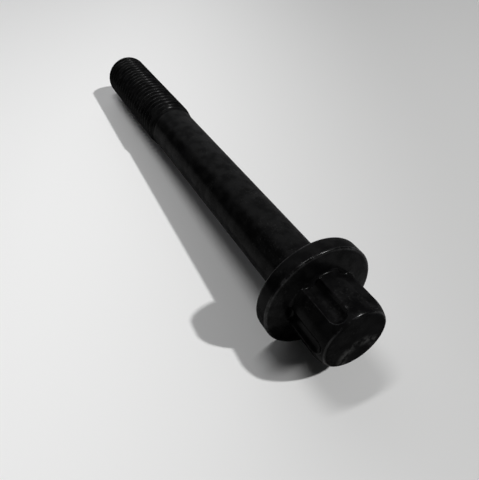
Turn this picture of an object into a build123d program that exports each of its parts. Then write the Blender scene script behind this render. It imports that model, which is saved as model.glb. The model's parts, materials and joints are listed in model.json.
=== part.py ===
"""Cylinder head bolt: flange bolt with an external six-lobe head, one forged and thread-rolled piece.

The bolt is modelled on its own axis, with z measured from the bearing face under the flange: plus
towards the tip, minus towards the head's end. It is then laid down as it comes to rest, on the rim of
its flange and on the end of its thread: +X runs from head to tip, +Z is up, and the origin is on the
floor below the middle.
"""
import math
import os

from build123d import *

# Driving dimensions, millimetres and degrees

# Shank, and the length of its coarse thread, a cylinder over the thread's crests
bolt_length = 102.0
thread_diameter = 12.0
thread_pitch = 1.75
thread_length = 36.0
run_out_turns = 2.5
tip_chamfer = 1.3
tip_rounding = 0.7

# Flange
flange_diameter = 21.2
rim_thickness = 3.0
rim_back_rounding = 0.3
rim_front_rounding = 0.3
face_slope = 15.0
collar_width = 0.9
neck_fillet = 1.2

# Drive head with six lobes
lobe_count = 6
lobe_diameter = 13.4
head_height = 13.35
flute_depth = 1.0
flute_radius = 2.0
flute_end_gap = 2.1
foot_chamfer = 0.45
crown_length = 3.0
crown_radius = 5.9
end_bevel = 0.25
end_face_diameter = 11.2

# How the bolt has rolled to rest: a lobe's turn from straight up, clockwise as seen from the head
rest_turn = 4.4

# Sizes that follow from the driving ones
thread_radius = thread_diameter / 2
shank_radius = (thread_diameter - 0.6495 * thread_pitch) / 2  # the thread's pitch radius
thread_start = bolt_length - thread_length
shank_end = thread_start - run_out_turns * thread_pitch
tip_radius = thread_radius - tip_chamfer
flange_radius = flange_diameter / 2
lobe_radius = lobe_diameter / 2
collar_radius = lobe_radius + collar_width
face_level = rim_thickness + (flange_radius - collar_radius) * math.tan(math.radians(face_slope))
end_face_radius = end_face_diameter / 2
crown_start = head_height - crown_length
crown_turn = math.degrees(math.asin((crown_length - end_bevel) / crown_radius))
flute_place_radius = lobe_radius - flute_depth + flute_radius
flute_end = head_height - flute_end_gap
flute_turn = rest_turn + 180 / lobe_count
flute_align = (Align.CENTER, Align.CENTER, Align.MAX)

# The bolt's lie: one tangent under the rim and under the thread's last full circle
rim_contact = -rim_back_rounding
thread_contact = bolt_length - tip_chamfer
lie = math.atan((flange_radius - thread_radius) / (thread_contact - rim_contact))
seat_height = flange_radius * math.cos(lie) + rim_contact * math.sin(lie)
middle = (bolt_length - head_height) / 2 * math.cos(lie) + (tip_radius - end_face_radius) / 2 * math.sin(lie)
rest_place = Location((-middle, 0, seat_height), (0, 90 + math.degrees(lie), 0))

with BuildPart() as bolt:
    # Head with its crown, flange, shank, thread and tip, turned about the bolt's axis
    with BuildSketch(Plane.XZ) as turned:
        with BuildLine():
            crown = CenterArc((lobe_radius - crown_radius, -crown_start), crown_radius, -crown_turn, crown_turn)
            Polyline(
                crown @ 0,
                (end_face_radius, -head_height),
                (0, -head_height),
                (0, bolt_length),
                (tip_radius, bolt_length),
                (thread_radius, bolt_length - tip_chamfer),
                (thread_radius, thread_start),
                (shank_radius, shank_end),
                (shank_radius, 0),
                (flange_radius, 0),
                (flange_radius, -rim_thickness),
                (collar_radius, -face_level),
                (lobe_radius, -face_level),
                crown @ 1,
            )
        make_face()
        for corner, rounding in (
            ((flange_radius, -rim_thickness), rim_front_rounding),
            ((flange_radius, 0), rim_back_rounding),
            ((shank_radius, 0), neck_fillet),
            ((tip_radius, bolt_length), tip_rounding),
        ):
            fillet(turned.vertices().sort_by_distance(corner)[0], rounding)
    revolve(axis=Axis.Z)

    # Flutes between the lobes, each a round groove that ends in a ball before the crown's end
    with PolarLocations(flute_place_radius, lobe_count, start_angle=flute_turn):
        with Locations((0, 0, -face_level)):
            Cylinder(flute_radius, flute_end - face_level, align=flute_align, mode=Mode.SUBTRACT)
        with Locations((0, 0, -flute_end)):
            Sphere(flute_radius, mode=Mode.SUBTRACT)

    # Sloping foot where the lobes and flutes meet the flat round the head
    collar = bolt.faces().filter_by(Axis.Z).sort_by(Axis.Z)[1]
    chamfer(collar.inner_wires()[0].edges(), foot_chamfer)

# The bolt laid down on its rim and its thread
with BuildPart() as cylinder_head_bolt:
    with Locations(rest_place):
        add(bolt.part)

cylinder_head_bolt.part.label = "cylinder_head_bolt"

os.makedirs("parts", exist_ok=True)
export_step(cylinder_head_bolt.part, "parts/cylinder_head_bolt.step")
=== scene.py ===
import math

import bpy
from mathutils import Matrix, Vector
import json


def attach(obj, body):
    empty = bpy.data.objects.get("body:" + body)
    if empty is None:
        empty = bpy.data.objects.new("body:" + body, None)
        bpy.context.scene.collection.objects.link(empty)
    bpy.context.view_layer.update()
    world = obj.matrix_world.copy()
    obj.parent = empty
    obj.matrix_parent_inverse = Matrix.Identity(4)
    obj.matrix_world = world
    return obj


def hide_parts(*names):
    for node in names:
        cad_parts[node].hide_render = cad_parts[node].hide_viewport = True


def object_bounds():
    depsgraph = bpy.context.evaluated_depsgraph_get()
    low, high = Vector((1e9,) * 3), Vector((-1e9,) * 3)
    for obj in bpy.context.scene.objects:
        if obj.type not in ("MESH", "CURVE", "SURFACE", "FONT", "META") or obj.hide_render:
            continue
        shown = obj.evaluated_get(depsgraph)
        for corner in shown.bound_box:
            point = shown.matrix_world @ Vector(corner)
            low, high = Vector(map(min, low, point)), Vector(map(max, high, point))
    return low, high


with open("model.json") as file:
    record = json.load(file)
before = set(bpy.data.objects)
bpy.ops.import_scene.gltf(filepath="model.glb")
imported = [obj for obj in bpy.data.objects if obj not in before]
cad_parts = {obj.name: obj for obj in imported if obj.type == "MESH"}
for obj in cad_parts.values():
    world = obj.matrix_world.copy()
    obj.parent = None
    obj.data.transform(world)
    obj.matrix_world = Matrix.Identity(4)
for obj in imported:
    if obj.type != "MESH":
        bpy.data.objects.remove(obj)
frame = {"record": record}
cadLow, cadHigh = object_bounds()

mm = 0.001  # the sizes below are in millimetres, the scene is in metres
cadNode = "cylinder_head_bolt"

# The bolt's own frame: x runs from the bearing face to the tip, z is up across the bolt
seatMount = next(mount for mount in frame["record"]["mounts"] if mount["name"] == "bearing_face")
boltAxis = Vector(seatMount["axis"])
seatCentre = Vector((seatMount["pos_m"][0], 0, seatMount["pos_m"][2]))
sideways = Vector((0, 1, 0))
upwards = boltAxis.cross(sideways)
boltToRow = Matrix((
    (boltAxis.x, sideways.x, upwards.x, seatCentre.x),
    (boltAxis.y, sideways.y, upwards.y, seatCentre.y),
    (boltAxis.z, sideways.z, upwards.z, seatCentre.z),
    (0, 0, 0, 1),
))


def arcPoints(centreX, centreR, radius, startTurn, endTurn, count):
    points = []
    for step in range(count + 1):
        turn = math.radians(startTurn + (endTurn - startTurn) * step / count)
        points.append((centreX + radius * math.cos(turn), centreR + radius * math.sin(turn)))
    return points


# A corner cut off smoothly, the given length from it each way
def roundCorner(before, corner, after, cut):
    middle = Vector(corner)
    first = middle + (Vector(before) - middle).normalized() * cut
    last = middle + (Vector(after) - middle).normalized() * cut
    points = []
    for share in (0, 0.25, 0.5, 0.75, 1):
        points.append(tuple(first.lerp(middle, share).lerp(middle.lerp(last, share), share)))
    return points


def smoothMin(first, second, reach):
    gap = max(reach - abs(first - second), 0) / reach
    return min(first, second) - gap * gap * gap * reach / 6


class NodeDesk:  # lays nodes in a tree and links them

    def __init__(self, tree):
        self.tree = tree

    def add(self, kind, values=None, **settings):
        node = self.tree.nodes.new(kind)
        for name, value in settings.items():
            setattr(node, name, value)
        for socket, value in (values or {}).items():
            self.feed(node.inputs[socket], value)
        return node

    def feed(self, socket, value):
        if isinstance(value, bpy.types.NodeSocket):
            self.tree.links.new(value, socket)
        else:
            socket.default_value = value

    def maths(self, operation, *values):
        node = self.add("ShaderNodeMath", operation=operation)
        for socket, value in zip(node.inputs, values):
            self.feed(socket, value)
        return node.outputs[0]


# The forged and turned part: head, flange, shank and tip
boltShape = {
    "lobeCount": 6,
    "lobeRadius": 6.7,
    "headHeight": 13.35,
    "crownLength": 3.0,
    "crownRadius": 5.9,
    "endBevel": 0.25,
    "endRounding": 0.12,        # of the bevel's two corners
    "endRub": 0.8,              # how rubbed the bevel's outer corner is, from 0 to 1
    "endFaceRadius": 5.6,
    "endFaceRings": ((0.15, 30), (0.35, 60), (0.6, 120), (0.8, 240), (0.93, 720), (0.97, 720)),
    "fluteDepth": 1.0,
    "fluteRadius": 2.0,
    "fluteEndGap": 2.1,         # from the end face to the middle of the flute's ball end
    "lobeEdgeRounding": 0.3,
    "rootFillet": 0.5,
    "restTurn": 4.4,            # degrees from straight up, the way the bolt has rolled to rest
    "collarRadius": 7.6,
    "faceSlope": 15.0,
    "flangeRadius": 10.6,
    "rimThickness": 3.0,
    "rimFrontRounding": 0.3,
    "rimBackRounding": 0.3,
    "bearingRing": 8.48,        # a ring on the flat bearing face, between its rim and the neck
    "neckFillet": 1.2,
    "neckMargin": 0.2,
    "shankRadius": 5.4317,
    "tipRadius": 4.7,
    "tipRounding": 0.7,
    "tipChamferTurn": 45,
    "boltLength": 102.0,
    "crownSteps": 34,
    "shankSteps": 14,
    "arcSteps": (6, 8),         # on a small rounding and on a larger one
    "headColumns": 720,
    "flangeColumns": 240,
    "shankColumns": 120,
    "edgeReach": 0.15,          # how far the rubbed look runs beside an edge
}

threadShape = {
    "Pitch": 1.75,
    "Crest Radius": 6.0,
    "Root Radius": 4.927,
    "Blank Radius": boltShape["shankRadius"],
    "Run Out Start": 61.625,    # the end of the plain shank
    "Full Thread Start": 66.0,
    "Chamfer Start": 100.7,
    "Thread End": 101.795,      # where the tip's rounding takes over from its chamfer
    "Crest Rounding": 0.1,
    "Root Rounding": 0.2,
    "Rubbed Depth": 0.12,
    "Crest Rub": 0.5,           # how rubbed the crests are, from 0 to 1
}
rowsPerTurn = 16
weldDistance = 0.001            # joins the strip's own sides, and the strip to the blank


def roundRing(place, radius, columns, edge=0.0):
    turns = [2 * math.pi * column / columns for column in range(columns)]
    return [(place, -radius * math.sin(turn), radius * math.cos(turn), edge) for turn in turns]


def fluteReach(place, turn, shape):  # how far out the flute's wall is, at this place and turn
    flutesAt = shape["lobeRadius"] - shape["fluteDepth"] + shape["fluteRadius"]
    spacing = 2 * math.pi / shape["lobeCount"]
    fromFlute = (turn - math.radians(shape["restTurn"])) % spacing - spacing / 2
    intoBall = max(shape["fluteEndGap"] - shape["headHeight"] - place, 0)
    across = flutesAt * math.sin(fromFlute)
    room = shape["fluteRadius"] ** 2 - intoBall ** 2 - across ** 2
    if room <= 0:
        return 2 * shape["lobeRadius"]
    return flutesAt * math.cos(fromFlute) - math.sqrt(room)


def headRing(place, outside, shape, flare=0.0, edge=0.0):
    ring = []
    for column in range(shape["headColumns"]):
        turn = 2 * math.pi * column / shape["headColumns"]
        flute = fluteReach(place, turn, shape)
        radius = smoothMin(outside, flute, shape["lobeEdgeRounding"]) + flare
        nearFlute = 0 if flare else max(1 - abs(flute - outside) / shape["edgeReach"], 0)
        ring.append((place, -radius * math.sin(turn), radius * math.cos(turn), max(nearFlute, edge)))
    return ring


def headRings(shape):
    end = -shape["headHeight"]
    face = shape["endFaceRadius"]
    lobe = shape["lobeRadius"]
    crownStart = end + shape["crownLength"]
    bend = shape["crownRadius"]
    crownTurn = math.degrees(math.asin((shape["crownLength"] - shape["endBevel"]) / bend))
    rings = [[(end, 0, 0, 0)]]
    for share, columns in shape["endFaceRings"]:
        rings.append(roundRing(end, face * share, columns))
    crown = arcPoints(crownStart, lobe - bend, bend, 90 + crownTurn, 90, shape["crownSteps"])
    corners = [(end, 0), (end, face), crown[0], crown[1]]
    for place, outside in roundCorner(*corners[:3], shape["endRounding"]):
        rings.append(headRing(place, outside, shape))
    for place, outside in roundCorner(*corners[1:], shape["endRounding"]):
        rings.append(headRing(place, outside, shape, edge=shape["endRub"]))
    for place, outside in crown[2:]:
        rings.append(headRing(place, outside, shape))
    fillet = shape["rootFillet"]
    root = faceLevel(shape) - fillet
    for share in (0.03, 0.3, 0.7, 0.97):  # of the way down the lobes
        rings.append(headRing(crownStart + (root - crownStart) * share, lobe, shape))
    for place, flare in arcPoints(root, fillet, fillet, -90, 0, shape["arcSteps"][0]):
        rings.append(headRing(place, lobe, shape, flare))
    return rings


def faceLevel(shape):  # where the flange's sloping front face meets the flat round the head
    rise = (shape["flangeRadius"] - shape["collarRadius"]) * math.tan(math.radians(shape["faceSlope"]))
    return -shape["rimThickness"] - rise


def flangeRings(shape):
    rim = shape["flangeRadius"]
    front = shape["rimFrontRounding"]
    back = shape["rimBackRounding"]
    slope = shape["faceSlope"]
    beside = shape["edgeReach"]
    backSteps, frontSteps = shape["arcSteps"]
    foot = front * math.tan(math.radians((90 - slope) / 2))
    frontEdge = arcPoints(foot - shape["rimThickness"], rim - front, front, 180 - slope, 90, frontSteps)
    backEdge = arcPoints(-back, rim - back, back, 90, 0, backSteps)
    lean = math.radians(slope)
    upFace = 3 * beside  # on the face the rub fades more slowly
    place, radius = frontEdge[0]
    profile = [(faceLevel(shape), shape["collarRadius"], 0)]
    profile.append((place - upFace * math.sin(lean), radius - upFace * math.cos(lean), 0))
    profile += [(place, radius, 1) for place, radius in frontEdge]
    profile.append((frontEdge[-1][0] + beside, rim, 0))
    profile.append((-back - beside, rim, 0))
    profile += [(place, radius, 1) for place, radius in backEdge]
    profile.append((0, rim - back - beside, 0))
    profile.append((0, shape["bearingRing"], 0))
    return [roundRing(place, radius, shape["flangeColumns"], rub) for place, radius, rub in profile]


def shankRings(shape, thread):
    radius = shape["shankRadius"]
    neck = shape["neckFillet"]
    columns = shape["shankColumns"]
    steps = shape["shankSteps"]
    rings = [roundRing(0, radius + neck + shape["neckMargin"], columns)]
    for place, reach in arcPoints(neck, radius + neck, neck, 180, 270, shape["arcSteps"][1]):
        rings.append(roundRing(place, reach, columns))
    for step in range(1, steps + 1):
        rings.append(roundRing(neck + (thread["Run Out Start"] - neck) * step / steps, radius, columns))
    return rings


def tipRings(shape, thread):
    columns = shape["shankColumns"]
    length = shape["boltLength"]
    rounding = shape["tipRounding"]
    lean = shape["tipChamferTurn"]
    flat = shape["tipRadius"] - rounding * math.tan(math.radians(lean) / 2)
    chamferEnd = thread["Crest Radius"] - thread["Thread End"] + thread["Chamfer Start"]
    rings = [roundRing(thread["Thread End"], chamferEnd, columns)]
    for place, radius in arcPoints(length - rounding, flat, rounding, lean, 0, shape["arcSteps"][0])[1:]:
        rings.append(roundRing(place, radius, columns))
    for share in (0.6, 0.3):
        rings.append(roundRing(length, flat * share, columns))
    rings.append([(length, 0, 0, 0)])
    return rings


# Faces from each ring to the next: one with fewer points takes several of the other's on each face
def skinRings(rings, points, faces):
    starts = []
    for ring in rings:
        starts.append(len(points))
        points.extend(ring)
    for one, two, startOne, startTwo in zip(rings, rings[1:], starts, starts[1:]):
        count = max(len(one), len(two))
        if len(one) == 1:
            faces.extend((startOne, startTwo + (i + 1) % count, startTwo + i) for i in range(count))
            continue
        if len(two) == 1:
            faces.extend((startOne + i, startOne + (i + 1) % count, startTwo) for i in range(count))
            continue
        fewer = min(len(one), len(two))
        for column in range(fewer):
            sides = []
            for size, start in ((len(one), startOne), (len(two), startTwo)):
                share = size // fewer
                sides.append([start + (column * share + step) % size for step in range(share + 1)])
            faces.append(tuple(sides[0] + sides[1][::-1]))


def buildBlank():
    points, faces = [], []
    body = headRings(boltShape) + flangeRings(boltShape) + shankRings(boltShape, threadShape)
    skinRings(body, points, faces)
    skinRings(tipRings(boltShape, threadShape), points, faces)
    mesh = bpy.data.meshes.new("boltBlank")
    mesh.from_pydata([Vector(point[:3]) * mm for point in points], [], faces)
    edges = mesh.attributes.new("edge", "FLOAT", "POINT")
    edges.data.foreach_set("value", [point[3] for point in points])
    blank = bpy.data.objects.new("headBolt", mesh)
    bpy.context.collection.objects.link(blank)
    print("blank:", len(points), "points")
    return blank


# The rolled thread, a Geometry Nodes tree
def threadTree():
    tree = bpy.data.node_groups.new("rolledThread", "GeometryNodeTree")
    tree.interface.new_socket("Geometry", in_out="INPUT", socket_type="NodeSocketGeometry")
    for name in threadShape:
        tree.interface.new_socket(name, in_out="INPUT", socket_type="NodeSocketFloat")
    for name in ("Rows Per Turn", "Columns"):
        tree.interface.new_socket(name, in_out="INPUT", socket_type="NodeSocketInt")
    tree.interface.new_socket("Material", in_out="INPUT", socket_type="NodeSocketMaterial")
    tree.interface.new_socket("Geometry", in_out="OUTPUT", socket_type="NodeSocketGeometry")
    desk = NodeDesk(tree)
    given = desk.add("NodeGroupInput").outputs
    maths = desk.maths

    # one strip winds round the bolt: a row's last column meets the first of the row one turn further on
    rowsPerTurn = given["Rows Per Turn"]
    columns = given["Columns"]
    length = maths("SUBTRACT", given["Thread End"], given["Run Out Start"])
    turns = maths("ADD", maths("DIVIDE", length, given["Pitch"]), 1.0)
    rows = maths("ADD", maths("CEIL", maths("MULTIPLY", turns, rowsPerTurn)), 2.0)
    grid = desk.add("GeometryNodeMeshGrid", {
        "Size X": 1.0, "Size Y": 1.0, "Vertices X": rows, "Vertices Y": maths("ADD", columns, 1.0)})
    index = desk.add("GeometryNodeInputIndex").outputs[0]
    perRow = maths("ADD", columns, 1.0)
    row = maths("FLOOR", maths("DIVIDE", maths("ADD", index, 0.5), perRow))
    column = maths("SUBTRACT", index, maths("MULTIPLY", row, perRow))
    turnShare = maths("DIVIDE", column, columns)
    wound = maths("SUBTRACT", maths("ADD", maths("DIVIDE", row, rowsPerTurn), turnShare), 1.0)
    free = maths("ADD", given["Run Out Start"], maths("MULTIPLY", wound, given["Pitch"]))
    place = maths("MINIMUM", maths("MAXIMUM", free, given["Run Out Start"]), given["Thread End"])

    # height of the thread's side at this point of its pitch
    pitches = maths("DIVIDE", maths("SUBTRACT", place, given["Full Thread Start"]), given["Pitch"])
    phase = maths("SUBTRACT", pitches, turnShare)
    fromCrest = maths("ABSOLUTE", maths("SUBTRACT", maths("FRACT", phase), 0.5))
    flankRise = math.sqrt(3)
    crestHalfWidth = 1 / 16
    downFlank = maths("SUBTRACT", fromCrest, crestHalfWidth)
    drop = maths("MULTIPLY", downFlank, maths("MULTIPLY", given["Pitch"], flankRise))
    flank = maths("SUBTRACT", given["Crest Radius"], drop)
    crested = maths("SMOOTH_MIN", flank, given["Crest Radius"], given["Crest Rounding"])
    rolled = maths("SMOOTH_MAX", crested, given["Root Radius"], given["Root Rounding"])
    growth = desk.add("ShaderNodeMapRange", {
        "Value": place, "From Min": given["Run Out Start"], "From Max": given["Full Thread Start"]},
        interpolation_type="SMOOTHSTEP")
    raised = maths("MULTIPLY", maths("SUBTRACT", rolled, given["Blank Radius"]), growth.outputs[0])
    sides = maths("ADD", given["Blank Radius"], raised)
    chamfer = maths("SUBTRACT", given["Crest Radius"], maths("SUBTRACT", place, given["Chamfer Start"]))
    radius = maths("MINIMUM", sides, chamfer)

    turn = maths("MULTIPLY", turnShare, 2 * math.pi)
    spot = desk.add("ShaderNodeCombineXYZ", {
        "X": place,
        "Y": maths("MULTIPLY", maths("MULTIPLY", radius, maths("SINE", turn)), -1.0),
        "Z": maths("MULTIPLY", radius, maths("COSINE", turn)),
    })
    scaled = desk.add("ShaderNodeVectorMath", {0: spot.outputs[0], "Scale": mm}, operation="SCALE")
    wind = desk.add("GeometryNodeSetPosition", {
        "Geometry": grid.outputs["Mesh"], "Position": scaled.outputs[0]})
    flip = desk.add("GeometryNodeFlipFaces", {"Mesh": wind.outputs[0]})
    rubbedFrom = maths("SUBTRACT", given["Crest Radius"], given["Rubbed Depth"])
    rubbed = desk.add("ShaderNodeMapRange", {
        "Value": radius, "From Min": rubbedFrom, "From Max": given["Crest Radius"]})
    mark = desk.add("GeometryNodeStoreNamedAttribute", {
        "Geometry": flip.outputs[0], "Name": "edge",
        "Value": maths("MULTIPLY", rubbed.outputs[0], given["Crest Rub"])})
    join = desk.add("GeometryNodeJoinGeometry")
    tree.links.new(mark.outputs[0], join.inputs[0])
    tree.links.new(given["Geometry"], join.inputs[0])
    weld = desk.add("GeometryNodeMergeByDistance", {
        "Geometry": join.outputs[0], "Distance": weldDistance * mm})
    smooth = desk.add("GeometryNodeSetShadeSmooth", {"Geometry": weld.outputs[0]})
    real = desk.add("GeometryNodeRealizeInstances", {"Geometry": smooth.outputs[0]})
    coated = desk.add("GeometryNodeSetMaterial", {
        "Geometry": real.outputs[0], "Material": given["Material"]})
    desk.add("NodeGroupOutput", {"Geometry": coated.outputs[0]})
    return tree


def rollThread(blank, material):
    tree = threadTree()
    modifier = blank.modifiers.new("rolledThread", "NODES")
    modifier.node_group = tree
    values = dict(threadShape)
    values["Rows Per Turn"] = rowsPerTurn
    values["Columns"] = boltShape["shankColumns"]
    values["Material"] = material
    for item in tree.interface.items_tree:
        if item.in_out == "INPUT" and item.name in values:
            modifier[item.identifier] = values[item.name]
    depsgraph = bpy.context.evaluated_depsgraph_get()
    mesh = bpy.data.meshes.new_from_object(blank.evaluated_get(depsgraph))
    mesh.name = "headBolt"
    blank.modifiers.remove(modifier)
    blank.data = mesh
    return blank


# The finish is blackened steel, rubbed on its edges and a little dusty, with a painted reflection streak on
# its end face: first its node groups
def makeGroup(name, inputs, outputs):
    tree = bpy.data.node_groups.new(name, "ShaderNodeTree")
    for label, value in inputs.items():
        kind = "NodeSocketVector" if isinstance(value, tuple) else "NodeSocketFloat"
        socket = tree.interface.new_socket(label, in_out="INPUT", socket_type=kind)
        socket.default_value = value
    for label, kind in outputs.items():
        tree.interface.new_socket(label, in_out="OUTPUT", socket_type=kind)
    desk = NodeDesk(tree)
    return tree, desk, desk.add("NodeGroupInput").outputs, desk.add("NodeGroupOutput")


def noise(desk, vector, scale, detail, roughness):
    node = desk.add("ShaderNodeTexNoise", {
        "Vector": vector, "Scale": scale, "Detail": detail, "Roughness": roughness})
    return node.outputs[0]


def between(desk, value, low, high, first=0.0, second=1.0):
    node = desk.add("ShaderNodeMapRange", {
        "Value": value, "From Min": low, "From Max": high, "To Min": first, "To Max": second},
        interpolation_type="SMOOTHSTEP")
    return node.outputs[0]


def edgeRubGroup():  # edges burnished by handling, and the few spots where the coating has gone from them
    tree, desk, given, result = makeGroup("edgeRub", {
        "Patches Per Metre": 900.0, "Least Burnish": 0.35, "Bare": 0.05}, {
        "Burnished": "NodeSocketFloat", "Bare": "NodeSocketFloat"})
    spot = desk.add("ShaderNodeTexCoord").outputs["Object"]
    edge = between(desk, desk.add("ShaderNodeAttribute", attribute_name="edge").outputs["Fac"], 0.2, 1.0)
    patches = noise(desk, spot, given["Patches Per Metre"], 4.0, 0.6)
    burnished = desk.maths("MULTIPLY", edge, between(desk, patches, 0.3, 0.5, given["Least Burnish"], 1.0))
    bare = desk.maths("MULTIPLY", edge, between(desk, patches, 0.5, 0.65))
    desk.feed(result.inputs["Burnished"], burnished)
    desk.feed(result.inputs["Bare"], desk.maths("MULTIPLY", bare, given["Bare"]))
    return tree


def dustGroup():  # pale specks and smudges that lie on the coating
    tree, desk, given, result = makeGroup("dust", {
        "Specks Per Metre": 2600.0, "Smudges Per Metre": 160.0, "Amount": 0.3}, {"Mask": "NodeSocketFloat"})
    spot = desk.add("ShaderNodeTexCoord").outputs["Object"]
    specks = between(desk, noise(desk, spot, given["Specks Per Metre"], 3.0, 0.7), 0.52, 0.72)
    smudges = between(desk, noise(desk, spot, given["Smudges Per Metre"], 4.0, 0.6), 0.42, 0.7)
    dusty = desk.maths("MULTIPLY", desk.maths("MULTIPLY", specks, smudges), given["Amount"])
    desk.feed(result.inputs["Mask"], dusty)
    return tree


def paintedStreakGroup():  # a painted reflection: a bent light streak on the end face in the dust's colour, round its own centre
    tree, desk, given, result = makeGroup("paintedStreak", {
        "Centre": (0.0, 0.0, 0.0), "Face": (0.0, 0.0, 0.0), "Outwards": (0.0, 0.0, 1.0),
        "Radius": 0.0036, "Width": 0.0016, "Grain Per Metre": 700.0, "Amount": 0.9}, {
        "Mask": "NodeSocketFloat", "Face": "NodeSocketFloat"})
    spot = desk.add("ShaderNodeTexCoord").outputs["Object"]
    reach = desk.add("ShaderNodeVectorMath", {0: spot, 1: given["Centre"]}, operation="DISTANCE")
    offLine = desk.maths("ABSOLUTE", desk.maths("SUBTRACT", reach.outputs["Value"], given["Radius"]))
    line = desk.maths("SUBTRACT", 1.0, between(desk, offLine, 0.0, given["Width"]))
    fromFace = desk.add("ShaderNodeVectorMath", {0: spot, 1: given["Face"]}, operation="SUBTRACT")
    depth = desk.add("ShaderNodeVectorMath", {
        0: fromFace.outputs[0], 1: given["Outwards"]}, operation="DOT_PRODUCT")
    onFace = between(desk, depth.outputs["Value"], -0.1 * mm, -0.03 * mm)
    grain = between(desk, noise(desk, spot, given["Grain Per Metre"], 4.0, 0.6), 0.38, 0.62)
    # painted reflection: the light streak line, kept to the end face
    faceLimited = desk.maths("MULTIPLY", line, onFace)
    mask = desk.maths("MULTIPLY", faceLimited, desk.maths("MULTIPLY", grain, given["Amount"]))
    desk.feed(result.inputs["Mask"], mask)
    desk.feed(result.inputs["Face"], onFace)
    return tree


def forgeSkinGroup():  # fine grain of the coating over the shallow hollows left by forging
    tree, desk, given, result = makeGroup("forgeSkin", {
        "Grain Per Metre": 3000.0, "Hollows Per Metre": 420.0, "Grain": 0.35}, {
        "Height": "NodeSocketFloat", "Tone": "NodeSocketFloat"})
    spot = desk.add("ShaderNodeTexCoord").outputs["Object"]
    grain = noise(desk, spot, given["Grain Per Metre"], 5.0, 0.65)
    hollows = noise(desk, spot, given["Hollows Per Metre"], 3.0, 0.5)
    height = desk.add("ShaderNodeMix", {"Factor": given["Grain"], 2: hollows, 3: grain}, data_type="FLOAT")
    desk.feed(result.inputs["Height"], height.outputs[0])
    desk.feed(result.inputs["Tone"], hollows)
    return tree


coating = {
    "dark": (0.0025, 0.0025, 0.0026, 1),
    "light": (0.006, 0.006, 0.0061, 1),
    # the dust's colour, also used for the painted reflection streak on the end face
    "dust": (0.055, 0.055, 0.054, 1),
    "steel": (0.30, 0.30, 0.31, 1),
    "toneRange": (0.35, 0.65),
    "roughness": (0.6, 0.7),
    "specular": 0.0,
    "oil": (0.08, 0.12),        # how much of the surface the film of oil covers
    "oilRange": (0.3, 0.7),
    "oilRoughness": 0.22,
    "edgeOil": 0.4,
    "endFaceOil": 0.03,
    "paintedStreakPlace": (-1.3, -4.6),  # the painted reflection streak's centre from the end face's, sideways and up
    "rubbedRoughness": 0.34,
    "bumpStrength": 0.5,
    "bumpDepth": 0.02,
}


def mixColour(desk, factor, first, second):
    node = desk.add("ShaderNodeMix", {"Factor": factor, 6: first, 7: second}, data_type="RGBA")
    return node.outputs[2]


def mixNumber(desk, factor, first, second):
    node = desk.add("ShaderNodeMix", {"Factor": factor, 2: first, 3: second}, data_type="FLOAT")
    return node.outputs[0]


def blackenedSteel():
    material = bpy.data.materials.new("blackenedSteel")
    material.use_nodes = True
    material.node_tree.nodes.clear()
    desk = NodeDesk(material.node_tree)
    edges = desk.add("ShaderNodeGroup", node_tree=edgeRubGroup())
    rub = edges.outputs["Bare"]
    specks = desk.add("ShaderNodeGroup", node_tree=dustGroup()).outputs["Mask"]
    # painted reflection: a light streak on the end face, drawn in the dust's colour
    endFace = seatCentre - boltAxis * boltShape["headHeight"] * mm
    streakCentre = endFace + (sideways * coating["paintedStreakPlace"][0] + upwards * coating["paintedStreakPlace"][1]) * mm
    paintedStreak = desk.add("ShaderNodeGroup", node_tree=paintedStreakGroup())
    desk.feed(paintedStreak.inputs["Centre"], streakCentre)
    desk.feed(paintedStreak.inputs["Face"], endFace)
    desk.feed(paintedStreak.inputs["Outwards"], -boltAxis)
    # dust specks, together with the painted reflection streak on the end face
    dust = desk.maths("MAXIMUM", specks, paintedStreak.outputs["Mask"])
    skin = desk.add("ShaderNodeGroup", node_tree=forgeSkinGroup())
    tone = between(desk, skin.outputs["Tone"], *coating["toneRange"])
    coat = mixColour(desk, tone, coating["dark"], coating["light"])
    dustAndPaintedStreak = mixColour(desk, dust, coat, coating["dust"])
    colour = mixColour(desk, rub, dustAndPaintedStreak, coating["steel"])
    matt = mixNumber(desk, skin.outputs["Tone"], *coating["roughness"])
    roughness = mixNumber(desk, rub, matt, coating["rubbedRoughness"])
    film = between(desk, skin.outputs["Tone"], *coating["oilRange"], *coating["oil"])
    faceLimited = mixNumber(desk, paintedStreak.outputs["Face"], film, coating["endFaceOil"])
    oil = mixNumber(desk, edges.outputs["Burnished"], faceLimited, coating["edgeOil"])
    bump = desk.add("ShaderNodeBump", {
        "Height": skin.outputs["Height"], "Strength": coating["bumpStrength"],
        "Distance": coating["bumpDepth"] * mm})
    shader = desk.add("ShaderNodeBsdfPrincipled", {
        "Base Color": colour,
        "Roughness": roughness,
        "Metallic": rub,
        "Specular IOR Level": coating["specular"],
        "Coat Weight": oil,
        "Coat Roughness": coating["oilRoughness"],
        "Normal": bump.outputs[0],
    })
    desk.add("ShaderNodeOutputMaterial", {"Surface": shader.outputs[0]})
    return material


# The stage: a pale floor, the room's light, two lamps and the camera
stage = {
    "floorSize": 2.0,
    "floorPaintedDim": (0.565, 0.565, 0.56, 1),   # painted light on the floor: its colour from the side painted dimmer to the side painted brighter
    "floorPaintedBright": (0.90, 0.90, 0.895, 1),
    "floorBounce": (0.25, 0.25, 0.25, 1),  # what it throws back on the bolt's underside
    "floorRoughness": 0.6,
    "paintedLightAcross": (0.467, 0.884, 0),      # the way in which the painted light gets brighter, and from where to where
    "paintedLightReach": (-0.07, 0.045),
    "roomColour": (0.97, 0.98, 1.0, 1),
    "roomLight": 0.025,
    "windowLight": 0.8,
    "windowAlong": (0.25, 0.85),           # the window lies towards the tip, on the main lamp's side
    "windowAcross": (0.2, 0.45),
}


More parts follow.
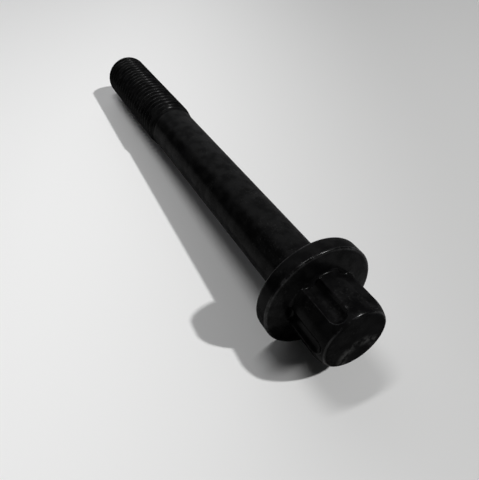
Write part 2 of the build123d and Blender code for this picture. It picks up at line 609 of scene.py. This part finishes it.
def makeFloor():
    half = stage["floorSize"] / 2
    mesh = bpy.data.meshes.new("floor")
    corners = [(-half, -half, 0), (half, -half, 0), (half, half, 0), (-half, half, 0)]
    mesh.from_pydata(corners, [], [(0, 1, 2, 3)])
    floor = bpy.data.objects.new("floor", mesh)
    floor.location.z = cadLow.z
    bpy.context.collection.objects.link(floor)
    material = bpy.data.materials.new("paleTable")
    material.use_nodes = True
    desk = NodeDesk(material.node_tree)
    # painted light: the floor's colour brightens across it in place of the lamps' falloff
    spot = desk.add("ShaderNodeTexCoord").outputs["Object"]
    across = desk.add("ShaderNodeVectorMath", {0: spot, 1: stage["paintedLightAcross"]}, operation="DOT_PRODUCT")
    share = between(desk, across.outputs["Value"], *stage["paintedLightReach"])
    seen = mixColour(desk, share, stage["floorPaintedDim"], stage["floorPaintedBright"])
    path = desk.add("ShaderNodeLightPath").outputs
    viewed = desk.maths("MAXIMUM", path["Is Camera Ray"], path["Is Glossy Ray"])
    direct = desk.maths("MAXIMUM", viewed, path["Is Transmission Ray"])
    shader = material.node_tree.nodes["Principled BSDF"]
    desk.feed(shader.inputs["Base Color"], mixColour(desk, direct, stage["floorBounce"], seen))
    shader.inputs["Roughness"].default_value = stage["floorRoughness"]
    mesh.materials.append(material)


def makeRoom():
    world = bpy.data.worlds.new("room")
    world.use_nodes = True
    desk = NodeDesk(world.node_tree)
    direction = desk.add("ShaderNodeTexCoord").outputs["Generated"]
    parts = desk.add("ShaderNodeSeparateXYZ", {0: direction}).outputs
    along = between(desk, parts["X"], *stage["windowAlong"])
    across = desk.maths("SUBTRACT", 1.0, between(desk, parts["Y"], *stage["windowAcross"]))
    window = desk.maths("MULTIPLY", desk.maths("MULTIPLY", along, across), stage["windowLight"])
    background = world.node_tree.nodes["Background"]
    background.inputs["Color"].default_value = stage["roomColour"]
    desk.feed(background.inputs["Strength"], desk.maths("ADD", window, stage["roomLight"]))
    bpy.context.scene.world = world


lamps = {  # each one's place from the floor below the bearing face, its size along and across the bolt
    "mainLamp": {"from": (-556, -600, 1000), "size": (55, 55), "power": 12.6},
    "softLamp": {"from": (60, 15, 240), "size": (14, 110), "power": 0.17},
}


def makeLamps():
    floorPoint = Vector((seatCentre.x, seatCentre.y, cadLow.z))
    target = (cadLow + cadHigh) / 2
    for name, lamp in lamps.items():
        light = bpy.data.lights.new(name, "AREA")
        light.shape = "ELLIPSE"
        light.size, light.size_y = (side * mm for side in lamp["size"])
        light.energy = lamp["power"]
        holder = bpy.data.objects.new(name, light)
        holder.location = floorPoint + Vector(lamp["from"]) * mm
        away = (holder.location - target).normalized()
        along = sideways.cross(away).normalized()
        holder.rotation_euler = Matrix((along, away.cross(along), away)).transposed().to_euler()
        bpy.context.collection.objects.link(holder)


cameraSet = {
    "place": (-43.093, 36.346, 65.326),    # from the bearing face's centre
    "lookAt": (25.261, 0.329, -10.575),
    "lens": 36.572,
    "sensor": 36.0,
    "clipStart": 5.0,
}


def makeCamera():
    camera = bpy.data.cameras.new("camera")
    camera.sensor_fit = "HORIZONTAL"
    camera.sensor_width = cameraSet["sensor"]
    camera.lens = cameraSet["lens"]
    camera.clip_start = cameraSet["clipStart"] * mm
    holder = bpy.data.objects.new("camera", camera)
    holder.location = seatCentre + Vector(cameraSet["place"]) * mm
    lookAt = seatCentre + Vector(cameraSet["lookAt"]) * mm
    holder.rotation_euler = (lookAt - holder.location).to_track_quat("-Z", "Y").to_euler()
    bpy.context.collection.objects.link(holder)
    bpy.context.scene.camera = holder


finish = blackenedSteel()
print("finish:", len(finish.node_tree.nodes), "nodes")
bolt = rollThread(buildBlank(), finish)
bolt.data.transform(boltToRow)
print("bolt:", len(bolt.data.polygons), "faces")
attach(bolt, "root")
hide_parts(cadNode)

makeFloor()
makeRoom()
makeLamps()
makeCamera()
bpy.context.scene.view_settings.view_transform = "Standard"
print("stage: floor, room,", len(lamps), "lamps and camera")
